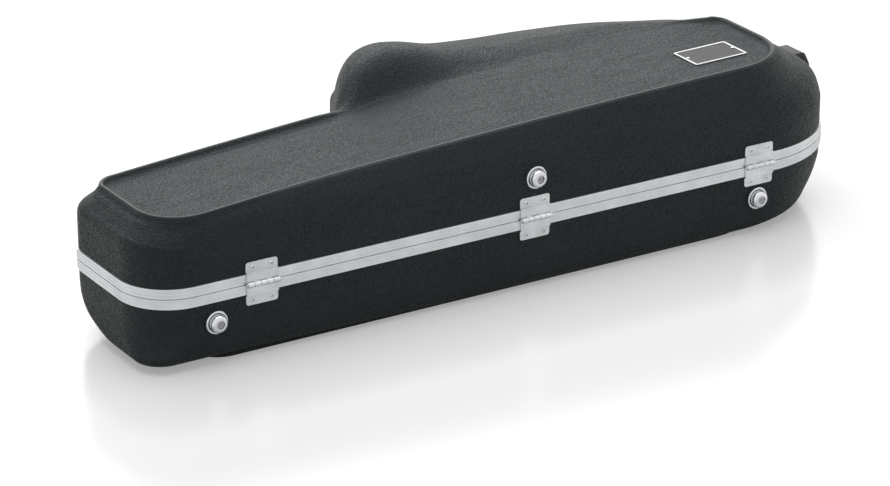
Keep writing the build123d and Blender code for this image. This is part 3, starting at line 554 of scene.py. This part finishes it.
def bumps(tree, shader, layers, edge=0.0):
    """Stacks bump layers, over rounded edges where edge is given.

    A layer is its height, its distance in metres and its strength."""
    normal = None
    if edge:
        rounding = add_node(tree, "ShaderNodeBevel", {"Radius": edge}, samples=4)
        normal = rounding.outputs["Normal"]
    for height, distance, strength in layers:
        bump = add_node(tree, "ShaderNodeBump", {"Distance": distance, "Strength": strength})
        tree.links.new(height, bump.inputs["Height"])
        if normal:
            tree.links.new(normal, bump.inputs["Normal"])
        normal = bump.outputs["Normal"]
    if normal:
        tree.links.new(normal, shader.inputs["Normal"])


def sockets(group, kind):
    """The sockets of one type, of a node that has a set for each type."""
    return [socket for socket in group if socket.type == kind]


def shell_material():
    """Pebbled plastic. The grain is smoother and glossier along the bead's crest."""
    material, tree, shader = node_material("pebbled_abs")
    here = place(tree)
    inputs = {"Scale": 470.0, "Smoothness": 0.35}
    cells = add_node(tree, "ShaderNodeTexVoronoi", inputs, feature="SMOOTH_F1")
    tree.links.new(here, cells.inputs["Vector"])
    distance = cells.outputs["Distance"]
    fine = noise(tree, here, 1300.0, 2.0)
    broad = noise(tree, here, 9.0, 4.0)
    scuff = noise(tree, place(tree, (1, 6, 6)), 14.0, 6.0, 0.7)
    ground = tint(tree, broad, (0.0050, 0.0072, 0.0076), (0.0085, 0.0112, 0.0118))
    # The pebbles' crowns are painted lighter, as painted glints added to the plastic's own tone.
    painted_glint_crowns = tint(tree, distance, (0.008, 0.010, 0.011), (0.0, 0.0, 0.0), 0.05, 0.55)
    summed = add_node(tree, "ShaderNodeMix", {"Factor": 1.0}, data_type="RGBA", blend_type="ADD")
    colours = sockets(summed.inputs, "RGBA")
    tree.links.new(ground, colours[0])
    tree.links.new(painted_glint_crowns, colours[1])
    tree.links.new(sockets(summed.outputs, "RGBA")[0], shader.inputs["Base Color"])
    crest = add_node(tree, "ShaderNodeAttribute", attribute_name="crest")
    rough = add_node(tree, "ShaderNodeMath", operation="ADD")
    tree.links.new(spread(tree, distance, 0.30, 0.62, 0.15, 0.60), rough.inputs[0])
    tree.links.new(spread(tree, scuff, -0.04, 0.05), rough.inputs[1])
    worn = add_node(tree, "ShaderNodeMix")
    share, plain, polished = sockets(worn.inputs, "VALUE")
    tree.links.new(crest.outputs["Fac"], share)
    tree.links.new(rough.outputs[0], plain)
    polished.default_value = 0.24
    tree.links.new(sockets(worn.outputs, "VALUE")[0], shader.inputs["Roughness"])
    shader.inputs["Specular IOR Level"].default_value = 0.32
    shader.inputs["Specular Tint"].default_value = (0.86, 0.97, 1.0, 1)
    pebbles = spread(tree, crest.outputs["Fac"], 1.0, 0.12, 0.0, 1.0)
    height = add_node(tree, "ShaderNodeMath", operation="MULTIPLY")
    tree.links.new(distance, height.inputs[0])
    tree.links.new(pebbles, height.inputs[1])
    layers = ((height.outputs[0], 0.0007, 0.8), (fine, 0.0002, 0.3), (broad, 0.002, 0.10))
    bumps(tree, shader, layers)
    return material


def metal_material(name, dark, light, rough, grain, edge, stretch=(1, 1, 1), scale=300.0):
    """Metal between two colours, with a range of roughness, a grain and rounded edges."""
    material, tree, shader = node_material(name)
    here = place(tree, stretch)
    lines = noise(tree, here, scale, 4.0, 0.6)
    broad = noise(tree, place(tree), 35.0, 4.0)
    tree.links.new(tint(tree, broad, dark, light), shader.inputs["Base Color"])
    tree.links.new(spread(tree, lines, *rough), shader.inputs["Roughness"])
    shader.inputs["Metallic"].default_value = 1.0
    bumps(tree, shader, ((lines, 0.0001, grain), (broad, 0.0006, 0.06)), edge)
    return material


def plastic_material(name, dark, light, rough, scale, depth, edge, specular=0.5):
    """Plain plastic or paint between two greys, with a fine grain."""
    material, tree, shader = node_material(name)
    here = place(tree)
    grain = noise(tree, here, scale, 2.0)
    broad = noise(tree, here, 30.0, 4.0)
    tree.links.new(tint(tree, broad, (dark,) * 3, (light,) * 3), shader.inputs["Base Color"])
    tree.links.new(spread(tree, grain, *rough), shader.inputs["Roughness"])
    shader.inputs["Specular IOR Level"].default_value = specular
    bumps(tree, shader, ((grain, depth, 0.5), (broad, 0.001, 0.08)), edge)
    return material


def plush_material():
    material, tree, shader = node_material("plush")
    here = place(tree)
    pile = noise(tree, here, 1500.0, 2.0)
    tufts = noise(tree, here, 260.0, 4.0, 0.65)
    brushed = noise(tree, place(tree, (1, 2.5, 2.5)), 16.0, 4.0)
    colour = tint(tree, brushed, (0.016, 0.016, 0.019), (0.034, 0.034, 0.039))
    tree.links.new(colour, shader.inputs["Base Color"])
    shader.inputs["Roughness"].default_value = 0.95
    shader.inputs["Sheen Weight"].default_value = 0.6
    shader.inputs["Sheen Roughness"].default_value = 0.5
    shader.inputs["Specular IOR Level"].default_value = 0.15
    bumps(tree, shader, ((tufts, 0.0012, 0.5), (pile, 0.0005, 0.5), (brushed, 0.002, 0.15)))
    return material


def ribbon_material():
    material, tree, shader = node_material("woven_ribbon")
    weave = []
    for direction in ("X", "Y"):
        inputs = {"Scale": 480.0, "Distortion": 0.6}
        wave = add_node(tree, "ShaderNodeTexWave", inputs, bands_direction=direction)
        tree.links.new(place(tree), wave.inputs["Vector"])
        weave.append(wave.outputs["Fac"])
    colour = tint(tree, weave[0], (0.012, 0.012, 0.013), (0.03, 0.03, 0.032), 0.2, 0.8)
    tree.links.new(colour, shader.inputs["Base Color"])
    shader.inputs["Roughness"].default_value = 0.8
    shader.inputs["Sheen Weight"].default_value = 0.3
    bumps(tree, shader, ((weave[0], 0.0003, 0.4), (weave[1], 0.0003, 0.4)))
    return material


abs_plastic = shell_material()
plush = plush_material()
ribbon = ribbon_material()
rim_metal = metal_material(
    "satin_rim", (0.65, 0.67, 0.68), (0.75, 0.77, 0.78), (0.28, 0.40), 0.2, 0, (3, 3, 500), 3.0
)
steel = metal_material(
    "zinc_plate", (0.60, 0.62, 0.63), (0.74, 0.76, 0.77), (0.24, 0.40), 0.2, 0.0003
)
chrome = metal_material(
    "chrome_plate", (0.66, 0.67, 0.69), (0.78, 0.79, 0.81), (0.08, 0.20), 0.1, 0.0003
)
# Darker steel for the screws, and for the rivets' hollows, where it is painted shade.
screw_and_hollow_shade_metal = metal_material(
    "screw_steel", (0.34, 0.34, 0.35), (0.50, 0.50, 0.51), (0.30, 0.50), 0.3, 0.0002
)
brass = metal_material(
    "turned_brass", (0.50, 0.36, 0.14), (0.62, 0.47, 0.20), (0.22, 0.38), 0.25, 0.0002
)
plate_border = metal_material(
    "plate_border", (0.44, 0.45, 0.46), (0.56, 0.57, 0.58), (0.30, 0.44), 0.2, 0.0002
)
handle_black = plastic_material("handle_plastic", 0.014, 0.022, (0.34, 0.50), 900.0, 0.0002, 0.0005)
rubber = plastic_material("grip_rubber", 0.010, 0.018, (0.55, 0.72), 700.0, 0.0004, 0.0008, 0.35)
plate_black = plastic_material("plate_black", 0.006, 0.010, (0.30, 0.42), 600.0, 0.0001, 0, 0.25)

# What a CAD piece's name holds, and its material
KEPT = (
    ("rim", rim_metal),
    ("hinge_", steel),
    ("_plate", chrome),
    ("_lever", chrome),
    ("_claw", chrome),
    ("_catch", chrome),
    ("_ring", chrome),
    ("_stud", chrome),
    ("_screw", screw_and_hollow_shade_metal),
    ("lock_plug", brass),
    ("handle_grip", rubber),
    ("handle_b", handle_black),
    ("end_loop", handle_black),
)
for name, node in nodes.items():
    for part, material in KEPT:
        if part in name:
            node.data.materials.clear()
            node.data.materials.append(material)
            break


def name_plate():
    """A dark plate with a bright border."""
    mesh = nodes["name_plate"].data
    mesh.materials.clear()
    mesh.materials.append(plate_black)
    mesh.materials.append(plate_border)
    corners = np.array([v.co for v in mesh.vertices])
    middle = corners.mean(0)
    reach = (corners.max(0) - corners.min(0)) / 2 - PLATE_BORDER
    for face in mesh.polygons:
        away = np.abs(np.array(face.center) - middle)
        face.material_index = int(away[0] > reach[0] or away[1] > reach[1])


# Shells and linings


def foot_bosses(feet):
    """Round pads on the wall under the feet."""
    groups = []
    for station, height in feet:
        centre = np.array((station, FACE_INSET[0], height))
        groups.append(turned(FOOT_BOSS, centre, (0, -1, 0), 56))
    return groups


def shell(node, body, outer, inner, patches, feet):
    """A shell as one closed skin, with a pad under each foot."""
    skin = closed_mesh(outer[::-1] + inner, patches)
    points, faces = merged([skin] + foot_bosses(feet))
    return new_object(node, row(points), faces, [abs_plastic], body)


def lid_shell():
    """The lid's shell, with the bead's crest marked as worn."""
    outer, inner = lid_rings(0, True), lid_rings(SHELL_WALL, False)
    patches = lid_patch(outer[-1], 0), lid_patch(inner[-1], SHELL_WALL)
    mesh = shell("lid_shell", "lid", outer, inner, patches, LID_FEET).data
    share = np.zeros(len(mesh.vertices))
    count = len(INDEX)
    for i, amount in CREST:
        share[i * count : (i + 1) * count] = amount * BEAD_HERE
    mesh.attributes.new("crest", "FLOAT", "POINT").data.foreach_set("value", share)


def base_shell():
    outer, inner = base_rings(0), base_rings(SHELL_WALL)
    shell("base_shell", "base", outer, inner, (patch(outer[-1]), patch(inner[-1])), BASE_FEET)


def lid_lining():
    outer, inner = lid_rings(LINING_BACK, False)[1:], lid_rings(LINING_FRONT, False)[1:]
    edge = []
    for inset, height in LINING_EDGE:
        line = outline(plan_points(*FACE_INSET), PLAN_RADII, inset - FACE_INSET[0])
        edge.append(np.column_stack([line, np.full(len(line), height)]))
    patches = lid_patch(outer[-1], LINING_BACK), lid_patch(inner[-1], LINING_FRONT)
    points, faces = closed_mesh(outer[::-1] + edge + inner, patches)
    obj = new_object("lid_lining", row(points), faces, [plush], "lid")


def base_lining():
    """The base's insert with its edges rounded, as foam under plush has.

    The plush runs over the joints of the blocks."""
    blocks = ("base_lining_narrow", "base_lining_middle", "base_lining_wide")
    joined = bmesh.new()
    for block in blocks:
        joined.from_mesh(nodes[block].data)
    for block in blocks[:2]:
        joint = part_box(block)[1].x + BLOCK_GAP / 2
        hidden = [f for f in joined.faces if all(abs(v.co.x - joint) < 0.0003 for v in f.verts)]
        bmesh.ops.delete(joined, geom=hidden, context="FACES")
    mesh = bpy.data.meshes.new("base_lining_visual")
    joined.to_mesh(mesh)
    joined.free()
    obj = bpy.data.objects.new("base_lining_visual", mesh)
    scene.collection.objects.link(obj)
    remesh = obj.modifiers.new("remesh", "REMESH")
    remesh.mode = "VOXEL"
    remesh.voxel_size = 0.004
    smooth = obj.modifiers.new("smooth", "SMOOTH")
    smooth.factor = 0.5
    smooth.iterations = 5
    graph = bpy.context.evaluated_depsgraph_get()
    mesh = bpy.data.meshes.new_from_object(obj.evaluated_get(graph))
    obj.modifiers.clear()
    obj.data = mesh
    mesh.materials.clear()
    mesh.materials.append(plush)
    points = np.array([v.co for v in mesh.vertices]) * 1000 + (LENGTH / 2, WIDTH / 2, REST)
    mesh.vertices.foreach_set("co", row(bowed(points)).ravel())
    mesh.shade_smooth()
    mesh.update()
    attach(obj, "base")
    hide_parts(*blocks)


def quarter_round(distance):
    """The height of a quarter circle at a distance from its edge, as shares of its radius."""
    return np.sqrt(max(0, 1 - max(0, 1 - distance) ** 2))


def cover():
    """The compartment's cover, a thin board in plush over foam with a round edge all the way."""
    low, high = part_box("compartment_cover")
    length, width = high.x - low.x, high.y - low.y
    middle, half = (low.z + high.z) / 2, (high.z - low.z) / 2
    nx, ny = 56, 84
    points = []
    for side in (1, -1):
        for i in range(nx + 1):
            for j in range(ny + 1):
                u, v = i / nx, j / ny
                edge_x = quarter_round(min(u, 1 - u) * length / half)
                edge_y = quarter_round(min(v, 1 - v) * width / half)
                crown = COVER_CROWN * (np.sin(np.pi * u) * np.sin(np.pi * v)) ** 0.5
                depth = half * edge_x * edge_y + crown * (side > 0)
                points.append((low.x + u * length, low.y + v * width, middle + side * depth))
    faces = two_grids(nx, ny)
    obj = new_object("compartment_cover", points, faces, [plush], "compartment_cover")
    work = bmesh.new()
    work.from_mesh(obj.data)
    bmesh.ops.remove_doubles(work, verts=work.verts, dist=0.00005)
    bmesh.ops.recalc_face_normals(work, faces=work.faces)
    work.to_mesh(obj.data)
    work.free()


def pull_tab():
    """A short woven ribbon, sewn down at its root and lifted a little at its free end."""
    low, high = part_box("cover_pull_tab")
    length, width = high.x - low.x, high.y - low.y
    nx, ny = 28, 14
    points = []
    for layer in (0, 1):
        for i in range(nx + 1):
            for j in range(ny + 1):
                t = i / nx
                lift = 0.0022 * t**2
                thickness = 0.0009 + 0.0002 * (1 - (2 * j / ny - 1) ** 4)
                x = high.x - t * length
                y = low.y + width * (0.5 + (j / ny - 0.5) * (1 - 0.12 * t))
                points.append((x, y, low.z + lift + layer * thickness))
    faces = two_grids(nx, ny)
    count = len(points) // 2
    border = [i * (ny + 1) for i in range(nx + 1)]
    border += [nx * (ny + 1) + j for j in range(1, ny + 1)]
    border += [i * (ny + 1) + ny for i in range(nx - 1, -1, -1)]
    border += list(range(ny - 1, 0, -1))
    for i, a in enumerate(border):
        b = border[(i + 1) % len(border)]
        faces.append((a, b, b + count, a + count))
    new_object("cover_pull_tab", points, faces, [ribbon], "compartment_cover")


# Rivets with a hollow in the head


def wall_frame(station):
    """Middle, direction along and direction out of the latch side's wall at a station."""
    plan = plan_points(*FACE_INSET)
    a, b = (plan[5], plan[6]) if station < SHOULDER_START else (plan[3], plan[4])
    a, b = np.array(a), np.array(b)
    run = (b - a) / np.linalg.norm(b - a)
    share = (station - a[0]) / (b[0] - a[0])
    point = a + share * (b - a)
    return np.array((*point, 0.0)), np.array((*run, 0.0)), np.array((run[1], -run[0], 0.0))


def rivet_group(node, places, body):
    """Rivets in one piece, each with a hollow painted darker as painted shade."""
    groups = [turned(RIVET, centre, out, RIVET_SIDES) for centre, out in places]
    points, faces = merged(groups)
    obj = new_object(node, row(points), faces, [chrome, screw_and_hollow_shade_metal], body)
    each = len(groups[0][1])
    hollow = RIVET_HOLLOW * RIVET_SIDES
    # The face before each rivet's last closes its foot, and its last is the hollow's floor
    # The hollow's faces take the darker steel as painted shade in the recess.
    for i, face in enumerate(obj.data.polygons):
        face.material_index = int(i % each >= hollow and i % each != each - 2)


def hinge_rivets(body, height):
    """A rivet on both sides of each hinge, through the leaf."""
    places = []
    for station in HINGES:
        for hand in (-1, 1):
            places.append((np.array((station + hand * 10.5, 0.4, height)), (0, -1, 0)))
    rivet_group("hinge_rivets_" + body, places, body)


def latch_rivets(body, heights, spacing):
    """Rivets on both sides of each latch, through its plate or its catch."""
    places = []
    for station in LATCHES:
        middle, run, out = wall_frame(station)
        for hand in (-1, 1):
            for height in heights:
                centre = middle + run * hand * spacing + out * 1.2 + np.array((0, 0, height))
                places.append((centre, out))
    rivet_group("latch_rivets_" + body, places, body)


name_plate()
lid_shell()
base_shell()
lid_lining()
base_lining()
cover()
pull_tab()
hinge_rivets("base", -17.5)
latch_rivets("base", (-15.8, -41.2), 9.2)
hinge_rivets("lid", 17.5)
latch_rivets("lid", (25.3,), 7.5)

# Camera, light and floor


def photo_camera():
    data = bpy.data.cameras.new("photo_camera")
    data.lens = 153.1
    data.sensor_width = 36
    camera = bpy.data.objects.new("photo_camera", data)
    camera.location = (-1.963, -3.190, 1.545)
    camera.rotation_euler = (radians(67.5), 0, radians(-31.7))
    scene.collection.objects.link(camera)
    scene.camera = camera
    scene.view_settings.view_transform = "Standard"


def mixed(tree, share, first, second):
    """Two shaders mixed by a share."""
    node = tree.nodes.new("ShaderNodeMixShader")
    for socket, value in zip(node.inputs, (share, first, second)):
        tree.links.new(value, socket)
    return node.outputs[0]


def studio():
    """A white room, whose light on the case is weaker, and weakest from below."""
    world = bpy.data.worlds.new("studio")
    world.use_nodes = True
    scene.world = world
    tree = world.node_tree
    tree.nodes.clear()
    seen = add_node(tree, "ShaderNodeBackground", {"Color": (1, 1, 1, 1), "Strength": 1.0})
    room = add_node(tree, "ShaderNodeBackground", {"Strength": 0.40})
    coord = add_node(tree, "ShaderNodeTexCoord")
    split = add_node(tree, "ShaderNodeSeparateXYZ")
    tree.links.new(coord.outputs["Generated"], split.inputs[0])
    falloff = tint(tree, split.outputs["Z"], (0.45, 0.46, 0.47), (1.0, 1.0, 1.0), 0.0, 1.0)
    tree.links.new(falloff, room.inputs["Color"])
    path = tree.nodes.new("ShaderNodeLightPath")
    shown = path.outputs["Is Camera Ray"]
    for kind in ("Is Glossy Ray", "Is Transmission Ray"):
        either = add_node(tree, "ShaderNodeMath", operation="MAXIMUM")
        tree.links.new(shown, either.inputs[0])
        tree.links.new(path.outputs[kind], either.inputs[1])
        shown = either.outputs[0]
    surface = mixed(tree, shown, room.outputs[0], seen.outputs[0])
    output = tree.nodes.new("ShaderNodeOutputWorld")
    tree.links.new(surface, output.inputs[0])


def softbox(name, energy, size, location, turn):
    data = bpy.data.lights.new(name, "AREA")
    data.shape = "RECTANGLE"
    data.size, data.size_y = size
    data.energy = energy
    lamp = bpy.data.objects.new(name, data)
    lamp.location = location
    lamp.rotation_euler = [radians(angle) for angle in turn]
    lamp.visible_camera = False
    scene.collection.objects.link(lamp)


def floor_paper():
    """White glossy paper with a glow of its own, which is fainter in mirrors."""
    material, tree, shader = node_material("white_floor")
    shader.inputs["Base Color"].default_value = (0.82, 0.82, 0.82, 1)
    shader.inputs["Roughness"].default_value = 0.20
    shader.inputs["Specular IOR Level"].default_value = 0.8
    glow = add_node(tree, "ShaderNodeEmission", {"Color": (1, 1, 1, 1), "Strength": 0.31})
    faint = add_node(tree, "ShaderNodeEmission", {"Color": (1, 1, 1, 1), "Strength": 0.10})
    none = add_node(tree, "ShaderNodeEmission", {"Color": (0, 0, 0, 1), "Strength": 0.0})
    path = tree.nodes.new("ShaderNodeLightPath")
    mirrored = mixed(tree, path.outputs["Is Glossy Ray"], none.outputs[0], faint.outputs[0])
    light = mixed(tree, path.outputs["Is Camera Ray"], mirrored, glow.outputs[0])
    total = tree.nodes.new("ShaderNodeAddShader")
    tree.links.new(shader.outputs[0], total.inputs[0])
    tree.links.new(light, total.inputs[1])
    tree.links.new(total.outputs[0], tree.nodes["Material Output"].inputs["Surface"])
    return material


def white_floor():
    half = 14
    corners = [(-half, -half, 0), (half, -half, 0), (half, half, 0), (-half, half, 0)]
    mesh = bpy.data.meshes.new("floor")
    mesh.from_pydata(corners, [], [(0, 1, 2, 3)])
    mesh.materials.append(floor_paper())
    floor = bpy.data.objects.new("floor", mesh)
    scene.collection.objects.link(floor)


photo_camera()
studio()
softbox("overhead_softbox", 26, (2.6, 2.2), (0.1, 0.35, 2.1), (-8, 0, 0))
softbox("back_softbox", 30, (2.8, 1.8), (0.7, 2.1, 1.9), (-48, 0, -18))
white_floor()
